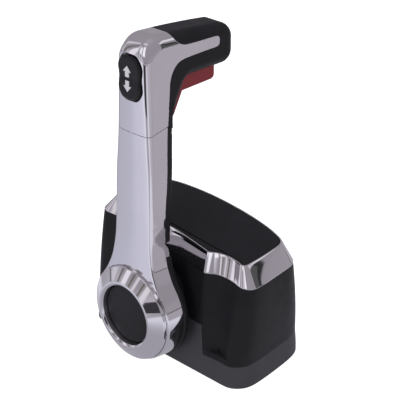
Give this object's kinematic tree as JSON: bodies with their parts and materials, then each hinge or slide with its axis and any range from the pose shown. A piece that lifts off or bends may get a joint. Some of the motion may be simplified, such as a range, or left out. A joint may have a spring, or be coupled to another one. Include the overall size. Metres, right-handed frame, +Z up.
{
  "type": "boat throttle control lever",
  "caption": "Side-lever boat throttle: pivoting lever with hub, grip, squeeze neutral lock, trim rocker and throttle-only button on a deck housing with shaft, gears, detent and cable fixings.",
  "frame": {"origin": "on the deck plane at the centre of the four deck screws, straight below the middle of the main shaft", "axes": "+Z up from the deck; +X towards the stern end of the housing, -X forward; the lever is on the -Y side and the shaft runs along Y"},
  "size_m": [0.1516, 0.1166, 0.2409],
  "materials": {
    "skirt_grey": "fine moulded grain",
    "seal_rubber": "matt",
    "soft_black": "soft-touch, very fine grain",
    "bright_chrome": "polished plating",
    "black_plastic": "semi-matt",
    "steel_screws": "bright",
    "bush_bronze": "turned",
    "plated_steel": "zinc plated",
    "gear_metal": "machined",
    "detent_block": "moulded",
    "friction_lining": "lining",
    "switch_blue": "moulded",
    "trigger_red": "satin moulded",
    "arrow_grey": "printed marks"
  },
  "bodies": {
    "housing": {"base_plate": "skirt_grey", "base_gasket": "seal_rubber", "housing_cover": "soft_black", "chrome_trim": "bright_chrome", "top_panel": "soft_black", "cover_screws": "steel_screws", "bearing_collar": "black_plastic", "shaft_bush_front": "bush_bronze", "shaft_seal": "seal_rubber", "neutral_lock_ring": "plated_steel", "mechanism_frame": "plated_steel", "frame_screws": "steel_screws", "shaft_bush_rear": "bush_bronze", "shift_stud": "plated_steel", "detent_body": "detent_block", "detent_spring": "steel_screws", "friction_pad": "friction_lining", "friction_screw": "steel_screws", "friction_bracket": "plated_steel", "neutral_switch": "switch_blue", "switch_bracket": "plated_steel", "cable_anchor": "plated_steel", "cable_clamp": "plated_steel", "clamp_screw": "steel_screws", "wire_grommet": "seal_rubber"},
    "lever": {"lever_arm": "bright_chrome", "hub_back_cover": "black_plastic", "hub_bezel": "bright_chrome", "button_spring": "steel_screws", "lever_washer": "steel_screws", "lever_bolt": "steel_screws", "arm_back_strip": "black_plastic", "lever_head": "bright_chrome", "grip": "soft_black", "trigger_spring": "steel_screws", "rocker_switch": "black_plastic", "rocker_pin": "steel_screws", "head_dowels": "steel_screws", "main_shaft": "plated_steel", "shaft_key": "steel_screws", "retaining_ring": "steel_screws", "drive_gear": "gear_metal", "detent_wheel": "plated_steel", "throttle_arm": "plated_steel"},
    "trigger": {"neutral_lock_trigger": "trigger_red", "pull_rod": "steel_screws", "lock_pin": "plated_steel"},
    "rocker": {"trim_rocker": "black_plastic", "rocker_arrows": "arrow_grey"},
    "button": {"throttle_only_button": "black_plastic"},
    "shift": {"shift_gear": "gear_metal"},
    "detent": {"detent_plunger": "plated_steel"}
  },
  "joints": [
    {"name": "lever_swing", "type": "hinge", "parent": "housing", "child": "lever", "pos_m": [0, 0, 0.0448], "axis": [0, 1, 0], "range_deg": [-75, 60]},
    {"name": "trigger_squeeze", "type": "slide", "parent": "lever", "child": "trigger", "axis": [0, 0, 1], "range_m": [0, 0.005], "stiffness_N_per_m": 800, "springref_m": -0.004, "deforming": ["trigger_spring"]},
    {"name": "trim_rocker_tilt", "type": "hinge", "parent": "lever", "child": "rocker", "pos_m": [0, -0.0584, 0.2148], "axis": [1, 0, 0], "range_deg": [-6, 6], "stiffness_Nm_per_rad": 0.5},
    {"name": "throttle_only_push", "type": "slide", "parent": "lever", "child": "button", "axis": [0, 1, 0], "range_m": [0, 0.003], "stiffness_N_per_m": 1000, "springref_m": -0.003, "deforming": ["button_spring"]},
    {"name": "shift_gear_turn", "type": "hinge", "parent": "housing", "child": "shift", "pos_m": [0.03635, 0, 0.0448], "axis": [0, 1, 0], "range_deg": [-60, 75]},
    {"name": "detent_slide", "type": "slide", "parent": "housing", "child": "detent", "axis": [1, 0, 0], "range_m": [-0.0015, 0], "stiffness_N_per_m": 2000, "springref_m": 0.003}
  ],
  "couplings": [
    {"joint": "shift_gear_turn", "follows": "lever_swing", "ratio": -1}
  ]
}
